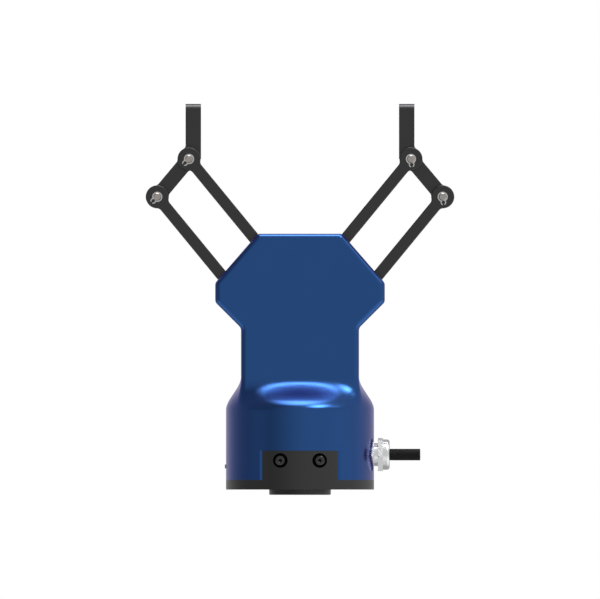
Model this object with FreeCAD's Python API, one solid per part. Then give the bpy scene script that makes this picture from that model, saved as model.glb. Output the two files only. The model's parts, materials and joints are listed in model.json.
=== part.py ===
import FreeCAD, Part
import math
import os

# Two-finger parallel gripper for a small collaborative robot. Lengths are millimetres.
# The origin is the centre of the face that bolts to the robot, +Z runs towards the
# fingertips, -Y is the front and +X is the cable's side. The fingers are fully open.

Vec = FreeCAD.Vector
X_AXIS = Vec(1, 0, 0)
Y_AXIS = Vec(0, 1, 0)
Z_AXIS = Vec(0, 0, 1)

# Mounting flange: the 50 mm bolt circle, spigot and dowel of a small robot's wrist
FLANGE_RADIUS = 37.75
FLANGE_THICKNESS = 4.9
SPIGOT_RADIUS = 15.75
SPIGOT_HEIGHT = 2.7
SPIGOT_CHAMFER = 0.4
BOLT_CIRCLE_RADIUS = 25.0
BOLT_HOLE_RADIUS = 3.3
BOLT_HEAD_RADIUS = 6.2
DOWEL_HOLE_RADIUS = 3.0

# Flange tabs, which hold the casing by screws in front and behind
TAB_WIDTH = 38.5
TAB_HEIGHT = 14.9
TAB_THICKNESS = 6.6
NOTCH_SIDE_GAP = 1.3
NOTCH_TOP_GAP = 0.05
TAB_SCREW_SPACING = 20.1
TAB_SCREW_DROP = 4.95
TAB_SCREW_RADIUS = 1.5
TAB_SCREW_HEAD_RADIUS = 2.9
TAB_SCREW_HEAD_HEIGHT = 1.65
TAB_SCREW_HEAD_EDGE = 1.1
TAB_SCREW_LENGTH = 10.0
TAB_SCREW_SOCKET = 2.0
TAB_COUNTERBORE_RADIUS = 3.75
TAB_WEB = 2.6
SCREW_CLEARANCE = 0.2
SOCKET_DEPTH_SHARE = 0.6
DRILL_POINT_SHARE = 0.3

# Casing, from the round base up
BASE_HEIGHT = 35.7
BASE_WALL = 4.75
BASE_CEILING_DROP = 3.1
BLEND_HEIGHT = 16.8
NECK_HALF_WIDTH = 30.1
NECK_HEIGHT = 25.0
NECK_SIDE_WALL = 5.5
SLANT_WALL = 4.63
SIDE_WALL = 4.52
FACE_WALL = 8.3
HEAD_TOP_HALF_WIDTH = 21.5
HEAD_ABOVE_PIVOT = 11.0
SIDE_ABOVE_PIVOT = 5.2
FACE_FILLET = 2.75
SIDE_CORNER_RADIUS = 3.1
NECK_CORNER_RADIUS = 3.2
TOP_CORNER_RADIUS = 2.8
SCREW_BLOCK_DEPTH = 10.2
SCREW_BLOCK_MARGIN = 3.6

# Rear cover
COVER_LIP = 2.1
COVER_SCREW_RADIUS = 1.0
COVER_SCREW_HEAD_RADIUS = 1.9
COVER_SCREW_HEAD_HEIGHT = 2.0
COVER_SCREW_LENGTH = 10.0
COVER_SCREW_SOCKET = 1.5
COVER_SINK = 3.2
COVER_SCREW_RISE = 5.5
COVER_SCREW_STEP = 2.5
COVER_SCREW_INSET = 3.5

# Arms and fingers
ARM_LENGTH = 63.55
ARM_ANGLE = 39.4
ARM_WIDTH = 5.9
EYE_RADIUS = 5.9
ARM_FILLET = 2.6
ARM_EDGE = 0.5
CHEEK = 3.9
FORK_GAP = 0.3
ARM_SIDE_GAP = 0.5
EYE_TO_WALL = 0.4
INNER_FORK_DEPTH = 14.5
OUTER_FORK_DEPTH = 7.6
LINK_REACH = 16.2
LINK_RISE = 19.3
LINK_WIDTH = 7.6
FINGER_DEPTH = 16.0
FINGER_WIDTH = 7.88
FINGER_FACE = 6.1
FINGER_HEIGHT = 28.1
FINGER_FILLET = 2.0
FINGER_TIP_FILLET = 3.3

# Finger pins and their retaining rings
PIN_RADIUS = 2.0
PIN_CLEARANCE = 0.04
PIN_END = 0.6
PIN_CHAMFER = 0.4
RING_THICKNESS = 0.4
RING_GAP = 0.1
RING_GROOVE_DEPTH = 0.1
RING_OUTER_RADIUS = 2.6
RING_LUG_DISTANCE = 2.88
RING_LUG_OUTER_RADIUS = 1.45
RING_LUG_INNER_RADIUS = 0.87
RING_MOUTH = 0.9

# Pivots in the casing
PIVOT_RADIUS = 2.5
PIVOT_SEAT = 4.0
BUSH_WALL = 1.0
BUSH_LENGTH = 8.0
BUSH_FLANGE = 0.4
BUSH_FLANGE_WIDTH = 0.9
RUNNING_CLEARANCE = 0.04
PIVOT_BORE_CLEARANCE = 0.5

# Worm drive
MODULE = 1.0
WHEEL_TEETH = 20
WORM_PITCH_RADIUS = 6.25
PRESSURE_ANGLE = 20.0
ADDENDUM = 0.9
DEDENDUM = 1.25
BACKLASH = 0.16
WHEEL_WIDTH = 6.0
WHEEL_HUB_RADIUS = 6.2
WHEEL_TAIL_WIDTH = 5.0
WHEEL_TAIL_LENGTH = 13.0
WHEEL_BORE_CLEARANCE = 0.1
SECTOR_DOWEL_RADIUS = 1.0
SECTOR_DOWEL_LENGTH = 20.0
SECTOR_DOWEL_PLACE = 9.4
LEFT_TEETH = (-27.0, -9.0, 9.0, 27.0, 45.0, 63.0)
RIGHT_TEETH = (-36.0, -18.0, 0.0, 18.0, 36.0, 54.0)
WORM_BELOW_PIVOT = 6.8
WORM_ABOVE_PIVOT = 5.4
WORM_HUB_RADIUS = 5.0
WORM_SHAFT_RADIUS = 2.5
WORM_PIN_RADIUS = 0.75
BRIDGE_HALF_WIDTH = 5.6
BRIDGE_THICKNESS = 4.9
BRIDGE_SKIN = 1.0
BRIDGE_GAP = 0.3
SHELF_BELOW_PIVOT = 14.5
SHELF_THICKNESS = 6.0
SHELF_HALF_WIDTH = 16.0
WORM_BUSH_WALL = 1.0
LOWER_BUSH_WALL = 1.5
LOWER_BUSH_FLANGE = 0.8
LOWER_BUSH_FLANGE_RADIUS = 5.5
WORM_END_GAP = 0.1

# Motor and gearbox
MOTOR_RADIUS = 11.0
GEARBOX_LENGTH = 24.0
MOTOR_LENGTH = 28.0
ENCODER_RADIUS = 9.5
ENCODER_LENGTH = 6.0
GEARBOX_SHAFT_DEPTH = 6.0
GEARBOX_SCREW_CIRCLE = 8.5
GEARBOX_SCREW_RADIUS = 1.0
GEARBOX_SCREW_HEAD_RADIUS = 1.9
GEARBOX_SCREW_HEAD_HEIGHT = 1.4
GEARBOX_SCREW_LENGTH = 10.0

# Cable gland on the right of the base
GLAND_HEIGHT = 17.85
GLAND_SPOT_DEPTH = 1.15
GLAND_SPOT_RADIUS = 8.15
GLAND_THREAD_RADIUS = 6.0
GLAND_PAD_THICKNESS = 1.5
GLAND_PAD_HALF = 9.5
GLAND_COLLAR_FLATS = 13.8
GLAND_COLLAR = 1.15
GLAND_NECK = 2.0
GLAND_NECK_RADIUS = 5.9
GLAND_NUT_FLATS = 16.0
GLAND_NUT_HEX = 2.5
GLAND_DOME_RADIUS = 7.75
GLAND_DOME_END_RADIUS = 6.45
GLAND_DOME_LENGTH = 3.45
GLAND_DOME_EDGE = 1.35
GLAND_NUT_CHAMFER = 0.35
GLAND_TURN = 6.0
GLAND_LOCKNUT = 2.6
GLAND_LOCKNUT_FLATS = 15.0
GLAND_BORE_RADIUS = 4.4
CABLE_RADIUS = 2.95
CABLE_FREE_LENGTH = 15.6
CABLE_TAIL = 9.5
O_RING_THICKNESS = 1.0

# Status light and control board
LIGHT_HEIGHT = 11.8
LIGHT_RADIUS = 1.05
LIGHT_PROUD = 0.6
LIGHT_INSET = 3.0
BOARD_GAP = 1.44
BOARD_THICKNESS = 1.6
BOARD_MARGIN = 1.2
BOARD_SCREW_PLACE = 14.0
BOARD_SCREW_INSET = 7.1
BOARD_SCREW_RADIUS = 1.25
BOARD_SCREW_HEAD_RADIUS = 2.3
BOARD_SCREW_HEAD_HEIGHT = 1.6
BOARD_SCREW_LENGTH = 6.0
CHIP_WIDTH = 12.0
CHIP_HEIGHT = 1.6
DRIVER_WIDTH = 10.0
DRIVER_HEIGHT = 1.4
DRIVER_PLACE = 17.0
SOCKET_LENGTH = 16.0
SOCKET_WIDTH = 8.0
SOCKET_HEIGHT = 5.0
SOCKET_PLACE = 15.0

# Stations in the base, outwards from its axis and up
BASE_BORE_RADIUS = FLANGE_RADIUS - BASE_WALL
TAB_SEAT = FLANGE_RADIUS - TAB_THICKNESS
GLAND_SEAT = FLANGE_RADIUS - GLAND_SPOT_DEPTH
GLAND_PAD = BASE_BORE_RADIUS - GLAND_PAD_THICKNESS
CABLE_INNER_END = GLAND_PAD - CABLE_TAIL
LIGHT_INNER_END = BASE_BORE_RADIUS - LIGHT_INSET
BOARD_HEIGHT = GLAND_HEIGHT + GLAND_LOCKNUT_FLATS / math.sqrt(3) + BOARD_GAP

# Heights up the casing
BASE_TOP = FLANGE_THICKNESS + BASE_HEIGHT
NECK_BOTTOM = BASE_TOP + BLEND_HEIGHT
NECK_TOP = NECK_BOTTOM + NECK_HEIGHT
TAB_TOP = FLANGE_THICKNESS + TAB_HEIGHT
NOTCH_TOP = TAB_TOP + NOTCH_TOP_GAP
TAB_SCREW_HEIGHT = TAB_TOP - TAB_SCREW_DROP

# Depths, from the middle plane outwards
FORK_HALF = FINGER_DEPTH / 2 + FORK_GAP
ARM_HALF = FORK_HALF + CHEEK
CAVITY_HALF = ARM_HALF + ARM_SIDE_GAP
HEAD_HALF_DEPTH = CAVITY_HALF + FACE_WALL

# Pivots, on the right-hand side
WHEEL_PITCH_RADIUS = MODULE * WHEEL_TEETH / 2
INNER_PIVOT_X = WORM_PITCH_RADIUS + WHEEL_PITCH_RADIUS
OUTER_PIVOT_X = INNER_PIVOT_X + LINK_REACH
SLANT_FOOT = NECK_TOP - NECK_HALF_WIDTH
OUTER_PIVOT_Z = OUTER_PIVOT_X + SLANT_FOOT + math.sqrt(2) * (EYE_RADIUS + EYE_TO_WALL + SLANT_WALL)
INNER_PIVOT_Z = OUTER_PIVOT_Z + LINK_RISE
UPPER_PIN_X = INNER_PIVOT_X + ARM_LENGTH * math.sin(math.radians(ARM_ANGLE))
UPPER_PIN_Z = INNER_PIVOT_Z + ARM_LENGTH * math.cos(math.radians(ARM_ANGLE))

# Head outline
HEAD_HALF_WIDTH = OUTER_PIVOT_X + EYE_RADIUS + EYE_TO_WALL + SIDE_WALL
SIDE_BOTTOM = HEAD_HALF_WIDTH + SLANT_FOOT
SIDE_TOP = OUTER_PIVOT_Z + SIDE_ABOVE_PIVOT
HEAD_TOP = INNER_PIVOT_Z + HEAD_ABOVE_PIVOT
BRIDGE_BOTTOM = HEAD_TOP - BRIDGE_THICKNESS
COVER_BOTTOM = NECK_BOTTOM + COVER_LIP
SHELF_TOP = INNER_PIVOT_Z - SHELF_BELOW_PIVOT
SHELF_BOTTOM = SHELF_TOP - SHELF_THICKNESS
BEYOND = 20.0


def cylinder(radius, low, high, centre=(0, 0), axis=Z_AXIS):
    """A cylinder along an axis, between two places on it; centre is in the other two axes."""
    if axis == Z_AXIS:
        start = Vec(centre[0], centre[1], low)
    elif axis == Y_AXIS:
        start = Vec(centre[0], low, centre[1])
    else:
        start = Vec(low, centre[0], centre[1])
    return Part.makeCylinder(radius, high - low, start, axis)


def block(x_span, y_span, z_span):
    """A box between pairs of lowest and highest coordinates."""
    size = [span[1] - span[0] for span in (x_span, y_span, z_span)]
    return Part.makeBox(size[0], size[1], size[2], Vec(x_span[0], y_span[0], z_span[0]))


def front_view(x, z, y=0.0):
    """A point of the front view, at a depth."""
    return Vec(x, y, z)


def mirrored(shape):
    """The left-hand copy of a right-hand piece."""
    return shape.mirror(Vec(0, 0, 0), X_AXIS)


def rounded_outline(corners, y):
    """A closed wire in the front view from (x, z, radius) corners, each rounded by its radius."""
    edges = []
    starts = []
    ends = []
    count = len(corners)
    for index, (x, z, radius) in enumerate(corners):
        here = front_view(x, z, y)
        before = front_view(corners[index - 1][0], corners[index - 1][1], y)
        after = front_view(corners[(index + 1) % count][0], corners[(index + 1) % count][1], y)
        if radius == 0:
            starts.append(here)
            ends.append(here)
            continue
        to_before = (before - here).normalize()
        to_after = (after - here).normalize()
        half = to_before.getAngle(to_after) / 2
        reach = radius / math.tan(half)
        start = here + to_before * reach
        end = here + to_after * reach
        middle_way = (to_before + to_after).normalize()
        middle = here + middle_way * (radius / math.sin(half) - radius)
        starts.append(start)
        ends.append(end)
        edges.append(Part.Arc(start, middle, end).toShape())
    for index in range(count):
        start = ends[index]
        end = starts[(index + 1) % count]
        if start.distanceToPoint(end) > 1e-6:
            edges.append(Part.LineSegment(start, end).toShape())
    return Part.Wire(Part.__sortEdges__(edges))


def plate(corners, y_low, y_high):
    """A plate with a rounded outline in the front view, between two depths."""
    face = Part.Face(rounded_outline(corners, y_low))
    return face.extrude(Vec(0, y_high - y_low, 0))


def edges_in_plane(shape, y):
    """The edges of a shape that lie wholly at one depth."""
    found = []
    for edge in shape.Edges:
        box = edge.BoundBox
        if abs(box.YMin - y) < 1e-4 and abs(box.YMax - y) < 1e-4:
            found.append(edge)
    return found


def hexagon_prism(flats, low, high, centre, axis, turn=0.0):
    """A hexagonal bar along X or Z, given the width across its flats."""
    corner_radius = flats / math.sqrt(3)
    points = []
    for step in range(7):
        angle = math.radians(60 * (step % 6) + turn)
        across = corner_radius * math.cos(angle)
        up = corner_radius * math.sin(angle)
        if axis == X_AXIS:
            points.append(Vec(low, centre[0] + across, centre[1] + up))
        else:
            points.append(Vec(centre[0] + across, centre[1] + up, low))
    return Part.Face(Part.makePolygon(points)).extrude(axis * (high - low))


def turned(shape, place, direction):
    """A piece drawn along +Z from the origin, laid along a direction from a place."""
    copy = shape.copy()
    copy.Placement = FreeCAD.Placement(place, FreeCAD.Rotation(Z_AXIS, direction))
    return copy


def cap_screw(radius, length, head_radius, head_height, socket, edge_radius=0.0):
    """A socket screw along +Z with its seat at the origin and its shank below.

    The socket ends in the drill's cone. An edge radius makes a button head.
    """
    shank = cylinder(radius, -length, 0)
    head = cylinder(head_radius, 0, head_height)
    if edge_radius:
        rim = [edge for edge in head.Edges if abs(edge.BoundBox.ZMin - head_height) < 1e-4]
        head = head.makeFillet(edge_radius, rim)
    floor = head_height * (1 - SOCKET_DEPTH_SHARE)
    point = socket * DRILL_POINT_SHARE
    screw = head.fuse(shank)
    screw = screw.cut(hexagon_prism(socket, floor, head_height + 1, (0, 0), Z_AXIS))
    return screw.cut(Part.makeCone(0, socket / 2, point, Vec(0, 0, floor - point)))


def head_corners(bottom):
    """The outline of the neck and head, from a height upwards, with its corner radii."""
    right = [
        (NECK_HALF_WIDTH, bottom, 0),
        (NECK_HALF_WIDTH, NECK_TOP, NECK_CORNER_RADIUS),
        (HEAD_HALF_WIDTH, SIDE_BOTTOM, SIDE_CORNER_RADIUS),
        (HEAD_HALF_WIDTH, SIDE_TOP, SIDE_CORNER_RADIUS),
        (HEAD_TOP_HALF_WIDTH, HEAD_TOP, TOP_CORNER_RADIUS),
    ]
    left = [(-x, z, radius) for x, z, radius in reversed(right)]
    return right + left


def head_solid(bottom):
    """The neck and head as a solid block with rounded face edges."""
    solid = plate(head_corners(bottom), -HEAD_HALF_DEPTH, HEAD_HALF_DEPTH)
    rims = []
    for y in (-HEAD_HALF_DEPTH, HEAD_HALF_DEPTH):
        for edge in edges_in_plane(solid, y):
            if edge.BoundBox.ZMax > bottom + 1e-4:
                rims.append(edge)
    return solid.makeFillet(FACE_FILLET, rims)


def bernstein_product(first, second):
    """Degree-four coefficients of the product of two quadratic Bernstein polynomials."""
    product = []
    for total in range(5):
        value = 0.0
        for i in range(max(0, total - 2), min(2, total) + 1):
            share = math.comb(2, i) * math.comb(2, total - i) / math.comb(4, total)
            value += share * first[i] * second[total - i]
        product.append(value)
    return product


def neck_section():
    """The neck's rounded rectangle as conic pieces: three (x, y) points and a middle weight."""
    x = NECK_HALF_WIDTH
    y = HEAD_HALF_DEPTH
    r = FACE_FILLET
    quarter = math.sqrt(0.5)
    pieces = []
    for corner, sign_x, sign_y in ((0, 1, -1), (1, 1, 1), (2, -1, 1), (3, -1, -1)):
        on_face = (sign_x * (x - r), sign_y * y)
        on_side = (sign_x * x, sign_y * (y - r))
        apex = (sign_x * x, sign_y * y)
        if corner % 2 == 0:
            pieces.append((on_face, apex, on_side, quarter))
            pieces.append((on_side, (sign_x * x, 0.0), (sign_x * x, -sign_y * (y - r)), 1.0))
        else:
            pieces.append((on_side, apex, on_face, quarter))
            pieces.append((on_face, (0.0, sign_y * y), (-sign_x * (x - r), sign_y * y), 1.0))
    return pieces


def base_arc(start, end):
    """The base circle's arc at the same bearings as two points: a conic piece."""
    low = math.atan2(start[1], start[0])
    high = math.atan2(end[1], end[0])
    if high < low:
        high += 2 * math.pi
    middle = (low + high) / 2
    weight = math.cos((high - low) / 2)
    apex_radius = FLANGE_RADIUS / weight
    return (
        (FLANGE_RADIUS * math.cos(low), FLANGE_RADIUS * math.sin(low)),
        (apex_radius * math.cos(middle), apex_radius * math.sin(middle)),
        (FLANGE_RADIUS * math.cos(high), FLANGE_RADIUS * math.sin(high)),
        weight,
    )


def blend_patch(neck, base):
    """One patch of the shoulder: the neck's curve eased into the base's, upright at both ends.

    Across, both curves are written over one common denominator, so each stays exact.
    Down, the four rows of poles neck, neck, base, base give the ease 3t^2 - 2t^3.
    """
    neck_weights = (1.0, neck[3], 1.0)
    base_weights = (1.0, base[3], 1.0)
    weights = bernstein_product(neck_weights, base_weights)
    rows = []
    for curve, own, other in ((neck, neck_weights, base_weights), (base, base_weights, neck_weights)):
        row = []
        for axis in (0, 1):
            lifted = [curve[k][axis] * own[k] for k in range(3)]
            row.append(bernstein_product(lifted, other))
        rows.append([(row[0][k] / weights[k], row[1][k] / weights[k]) for k in range(5)])
    poles = []
    for step, row in enumerate((rows[0], rows[0], rows[1], rows[1])):
        z = NECK_BOTTOM - BLEND_HEIGHT * step / 3
        poles.append([Vec(x, y, z) for x, y in row])
    surface = Part.BSplineSurface()
    surface.buildFromPolesMultsKnots(
        poles, [4, 4], [5, 5], [0.0, 1.0], [0.0, 1.0], False, False, 3, 4, [weights] * 4)
    return surface.toShape()


def blend_solid():
    """The flowing shoulder between the round base and the neck."""
    faces = [blend_patch(piece, base_arc(piece[0], piece[2])) for piece in neck_section()]
    for z in (BASE_TOP, NECK_BOTTOM):
        rim = []
        for face in faces:
            for edge in face.Edges:
                box = edge.BoundBox
                if abs(box.ZMin - z) < 1e-4 and abs(box.ZMax - z) < 1e-4:
                    rim.append(edge)
        faces.append(Part.Face(Part.Wire(Part.__sortEdges__(rim))))
    shell = Part.Shell(faces)
    shell.sewShape()
    solid = Part.Solid(shell)
    solid.fix(1e-6, 1e-6, 1e-6)
    return solid


def half_cavity():
    """The arms' side of the hollow in the head, right-hand half, open at the shoulder."""
    slope = math.radians(ARM_ANGLE)
    wall_x = HEAD_HALF_WIDTH - SIDE_WALL
    slant_lift = SLANT_FOOT + math.sqrt(2) * SLANT_WALL
    neck_x = NECK_HALF_WIDTH - NECK_SIDE_WALL
    arm_room = ARM_WIDTH / 2 + ARM_SIDE_GAP
    edge_x = OUTER_PIVOT_X + arm_room * math.cos(slope)
    edge_z = OUTER_PIVOT_Z - arm_room * math.sin(slope)
    wall_top = edge_z + (wall_x - edge_x) / math.tan(slope)
    corners = [
        (0, BASE_TOP - BASE_CEILING_DROP - 1, 0),
        (neck_x, BASE_TOP - BASE_CEILING_DROP - 1, 0),
        (neck_x, neck_x + slant_lift, 0),
        (wall_x, wall_x + slant_lift, 0),
        (wall_x, wall_top, 0),
        (wall_x + BEYOND * math.tan(slope), wall_top + BEYOND, 0),
        (wall_x + BEYOND * math.tan(slope), HEAD_TOP + BEYOND, 0),
        (BRIDGE_HALF_WIDTH, HEAD_TOP + BEYOND, 0),
        (BRIDGE_HALF_WIDTH, BRIDGE_BOTTOM, 0),
        (0, BRIDGE_BOTTOM, 0),
    ]
    return plate(corners, -CAVITY_HALF, CAVITY_HALF)


def drive_shelf():
    """The shelf that carries the gearbox below and the worm above."""
    return block((-SHELF_HALF_WIDTH, SHELF_HALF_WIDTH), (-CAVITY_HALF, CAVITY_HALF),
                 (SHELF_BOTTOM, SHELF_TOP))


def rear_opening():
    """The space behind the head's walls that the rear cover fills."""
    return block((-HEAD_HALF_WIDTH - 1, HEAD_HALF_WIDTH + 1), (CAVITY_HALF, HEAD_HALF_DEPTH + 1),
                 (COVER_BOTTOM, HEAD_TOP + 1))


def cover_screw_places():
    """The (x, z) places of the rear cover's screws."""
    neck_x = NECK_HALF_WIDTH - NECK_SIDE_WALL / 2
    side_x = HEAD_HALF_WIDTH - SIDE_WALL / 2 - SCREW_CLEARANCE
    places = [
        (neck_x, COVER_BOTTOM + COVER_SCREW_RISE),
        (neck_x, NECK_TOP - COVER_SCREW_STEP),
        (side_x, SIDE_BOTTOM + COVER_SCREW_STEP),
        (SHELF_HALF_WIDTH - COVER_SCREW_INSET, SHELF_BOTTOM + SHELF_THICKNESS / 2),
    ]
    return [(sign * x, z) for x, z in places for sign in (-1, 1)]


def pivot_places():
    """The (x, z) places of the four pivots in the casing."""
    return {
        "left_outer": (-OUTER_PIVOT_X, OUTER_PIVOT_Z),
        "left_inner": (-INNER_PIVOT_X, INNER_PIVOT_Z),
        "right_inner": (INNER_PIVOT_X, INNER_PIVOT_Z),
        "right_outer": (OUTER_PIVOT_X, OUTER_PIVOT_Z),
    }


def tab_screw_seats():
    """The seat of each tab screw and the way its head faces."""
    seat = TAB_SEAT + TAB_WEB
    seats = []
    for side in (-1, 1):
        for sign in (-1, 1):
            place = Vec(sign * TAB_SCREW_SPACING / 2, side * seat, TAB_SCREW_HEIGHT)
            seats.append((place, Vec(0, side, 0)))
    return seats


def base_bore():
    """The round hollow of the base, with flats left for the tab screws and the board."""
    bore = cylinder(BASE_BORE_RADIUS, FLANGE_THICKNESS - 1, BASE_TOP - BASE_CEILING_DROP)
    block_face = TAB_SEAT - SCREW_BLOCK_DEPTH
    half = TAB_WIDTH / 2 + NOTCH_SIDE_GAP + SCREW_BLOCK_MARGIN
    for side in (-1, 1):
        y_span = sorted((side * block_face, side * (BASE_BORE_RADIUS + 1)))
        bore = bore.cut(block((-half, half), y_span, (0, BOARD_HEIGHT)))
    pad = block((GLAND_PAD, BASE_BORE_RADIUS + 1), (-GLAND_PAD_HALF, GLAND_PAD_HALF),
                (GLAND_HEIGHT - GLAND_PAD_HALF, GLAND_HEIGHT + GLAND_PAD_HALF))
    return bore.cut(pad)


def housing_outside():
    """The casing's outer form, rear cover included."""
    base = cylinder(FLANGE_RADIUS, FLANGE_THICKNESS, BASE_TOP)
    return base.fuse([blend_solid(), head_solid(NECK_BOTTOM)]).removeSplitter()


def board_screw_places():
    """The (x, y) places of the control board's screws."""
    x = BOARD_SCREW_PLACE
    y = TAB_SEAT - BOARD_SCREW_INSET
    return [(sign_x * x, sign_y * y) for sign_x in (-1, 1) for sign_y in (-1, 1)]


def gearbox_screw_places():
    """The (x, y) places of the gearbox's screws."""
    reach = GEARBOX_SCREW_CIRCLE * math.sqrt(0.5)
    return [(sign_x * reach, sign_y * reach) for sign_x in (-1, 1) for sign_y in (-1, 1)]


def housing():
    """The casing: round base, flowing shoulder, neck and open-topped head in one piece."""
    body = housing_outside()
    hollow = half_cavity()
    hollow = hollow.fuse(mirrored(hollow)).cut(drive_shelf())
    cuts = [hollow, rear_opening(), base_bore()]
    notch_half = TAB_WIDTH / 2 + NOTCH_SIDE_GAP
    for side in (-1, 1):
        y_span = sorted((side * TAB_SEAT, side * (FLANGE_RADIUS + 1)))
        cuts.append(block((-notch_half, notch_half), y_span, (FLANGE_THICKNESS - 1, NOTCH_TOP)))
    for place, facing in tab_screw_seats():
        cuts.append(turned(cylinder(TAB_SCREW_RADIUS, -TAB_SCREW_LENGTH, 0), place, facing))
    for x, z in pivot_places().values():
        cuts.append(cylinder(PIVOT_RADIUS, -CAVITY_HALF - PIVOT_SEAT, 0, (x, z), Y_AXIS))
    for x, z in cover_screw_places():
        depth = COVER_SCREW_LENGTH
        seat = HEAD_HALF_DEPTH - COVER_SINK
        cuts.append(cylinder(COVER_SCREW_RADIUS, seat - depth, seat, (x, z), Y_AXIS))
    for x, y in board_screw_places():
        low = BOARD_HEIGHT + BOARD_THICKNESS - BOARD_SCREW_LENGTH
        cuts.append(cylinder(BOARD_SCREW_RADIUS, low, BOARD_HEIGHT + 1, (x, y)))
    for x, y in gearbox_screw_places():
        cuts.append(cylinder(GEARBOX_SCREW_RADIUS, SHELF_BOTTOM - 1, SHELF_TOP + 1, (x, y)))
    bush = WORM_SHAFT_RADIUS + RUNNING_CLEARANCE
    cuts.append(cylinder(bush + LOWER_BUSH_WALL, SHELF_BOTTOM - 1, SHELF_TOP + 1))
    cuts.append(cylinder(bush + WORM_BUSH_WALL, BRIDGE_BOTTOM - 1, HEAD_TOP - BRIDGE_SKIN))
    middle = (0, GLAND_HEIGHT)
    cuts.append(cylinder(GLAND_THREAD_RADIUS, GLAND_PAD - 1, FLANGE_RADIUS + 1, middle, X_AXIS))
    cuts.append(cylinder(GLAND_SPOT_RADIUS, GLAND_SEAT, FLANGE_RADIUS + 1, middle, X_AXIS))
    cuts.append(cylinder(LIGHT_RADIUS, -FLANGE_RADIUS - 1, -LIGHT_INNER_END,
                         (0, LIGHT_HEIGHT), X_AXIS))
    for cut in cuts:
        body = body.cut(cut)
    return body


def rear_cover():
    """The plate behind the head and neck, with blind seats for the pivots."""
    cover = head_solid(NECK_BOTTOM).common(rear_opening())
    for x, z in pivot_places().values():
        cover = cover.cut(cylinder(PIVOT_RADIUS, 0, CAVITY_HALF + PIVOT_SEAT, (x, z), Y_AXIS))
    for x, z in cover_screw_places():
        seat = HEAD_HALF_DEPTH - COVER_SINK
        shank = COVER_SCREW_RADIUS + SCREW_CLEARANCE
        head = COVER_SCREW_HEAD_RADIUS + SCREW_CLEARANCE
        cover = cover.cut(cylinder(shank, 0, seat + 1, (x, z), Y_AXIS))
        cover = cover.cut(cylinder(head, seat, HEAD_HALF_DEPTH + 1, (x, z), Y_AXIS))
    return cover


def rear_cover_screws():
    """The cap screws of the rear cover."""
    screw = cap_screw(COVER_SCREW_RADIUS, COVER_SCREW_LENGTH, COVER_SCREW_HEAD_RADIUS,
                      COVER_SCREW_HEAD_HEIGHT, COVER_SCREW_SOCKET)
    seat = HEAD_HALF_DEPTH - COVER_SINK
    return [turned(screw, Vec(x, seat, z), Y_AXIS) for x, z in cover_screw_places()]


def mounting_flange():
    """The flange: bolt disc, centring spigot and two upright tabs."""
    disc = cylinder(FLANGE_RADIUS, 0, FLANGE_THICKNESS)
    spigot = Part.makeCylinder(SPIGOT_RADIUS, SPIGOT_HEIGHT + 1, Vec(0, 0, -SPIGOT_HEIGHT))
    foot = [edge for edge in spigot.Edges if edge.BoundBox.ZMax < -SPIGOT_HEIGHT + 1e-4]
    spigot = spigot.makeChamfer(SPIGOT_CHAMFER, foot)
    flange = disc.fuse(spigot)
    round_bar = cylinder(FLANGE_RADIUS, 0, TAB_TOP)
    for side in (-1, 1):
        y_span = sorted((side * TAB_SEAT, side * (FLANGE_RADIUS + 1)))
        tab = block((-TAB_WIDTH / 2, TAB_WIDTH / 2), y_span, (0, TAB_TOP))
        flange = flange.fuse(tab.common(round_bar))
    flange = flange.removeSplitter()
    for quarter in range(4):
        angle = math.radians(45 + 90 * quarter)
        x = BOLT_CIRCLE_RADIUS * math.cos(angle)
        y = BOLT_CIRCLE_RADIUS * math.sin(angle)
        sink = BOLT_HEAD_RADIUS - BOLT_HOLE_RADIUS
        flange = flange.cut(cylinder(BOLT_HOLE_RADIUS, -1, FLANGE_THICKNESS + 1, (x, y)))
        cone = Part.makeCone(BOLT_HOLE_RADIUS, BOLT_HEAD_RADIUS, sink,
                             Vec(x, y, FLANGE_THICKNESS - sink))
        flange = flange.cut(cone)
    flange = flange.cut(cylinder(DOWEL_HOLE_RADIUS, -1, FLANGE_THICKNESS + 1,
                                 (-BOLT_CIRCLE_RADIUS, 0)))
    shank = cylinder(TAB_SCREW_RADIUS + SCREW_CLEARANCE, -TAB_SCREW_LENGTH, 1)
    sink = cylinder(TAB_COUNTERBORE_RADIUS, 0, FLANGE_RADIUS)
    for place, facing in tab_screw_seats():
        flange = flange.cut(turned(shank, place, facing))
        flange = flange.cut(turned(sink, place, facing))
    return flange


def flange_screws():
    """The button-head screws through the flange's tabs."""
    screw = cap_screw(TAB_SCREW_RADIUS, TAB_SCREW_LENGTH, TAB_SCREW_HEAD_RADIUS,
                      TAB_SCREW_HEAD_HEIGHT, TAB_SCREW_SOCKET, TAB_SCREW_HEAD_EDGE)
    return [turned(screw, place, facing) for place, facing in tab_screw_seats()]


def bar_outline(length, width, fillet):
    """A bar's outline from eye to eye up +Z from the origin, its corners eased by a fillet."""
    half = width / 2
    side = half + fillet
    reach = EYE_RADIUS + fillet
    rise = math.sqrt(reach * reach - side * side)
    share = EYE_RADIUS / reach
    edges = []
    for sign in (1, -1):
        foot = front_view(sign * side * share, rise * share)
        top = front_view(sign * side * share, length - rise * share)
        bar_foot = front_view(sign * half, rise)
        bar_top = front_view(sign * half, length - rise)
        for centre_z, start, end in ((rise, foot, bar_foot), (length - rise, top, bar_top)):
            centre = front_view(sign * side, centre_z)
            way = ((start - centre) + (end - centre)).normalize()
            edges.append(Part.Arc(start, centre + way * fillet, end).toShape())
        edges.append(Part.LineSegment(bar_foot, bar_top).toShape())
    across = side * share
    low = rise * share
    edges.append(Part.Arc(front_view(-across, low), front_view(0, -EYE_RADIUS),
                          front_view(across, low)).toShape())
    edges.append(Part.Arc(front_view(-across, length - low), front_view(0, length + EYE_RADIUS),
                          front_view(across, length - low)).toShape())
    return Part.Wire(Part.__sortEdges__(edges))


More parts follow.
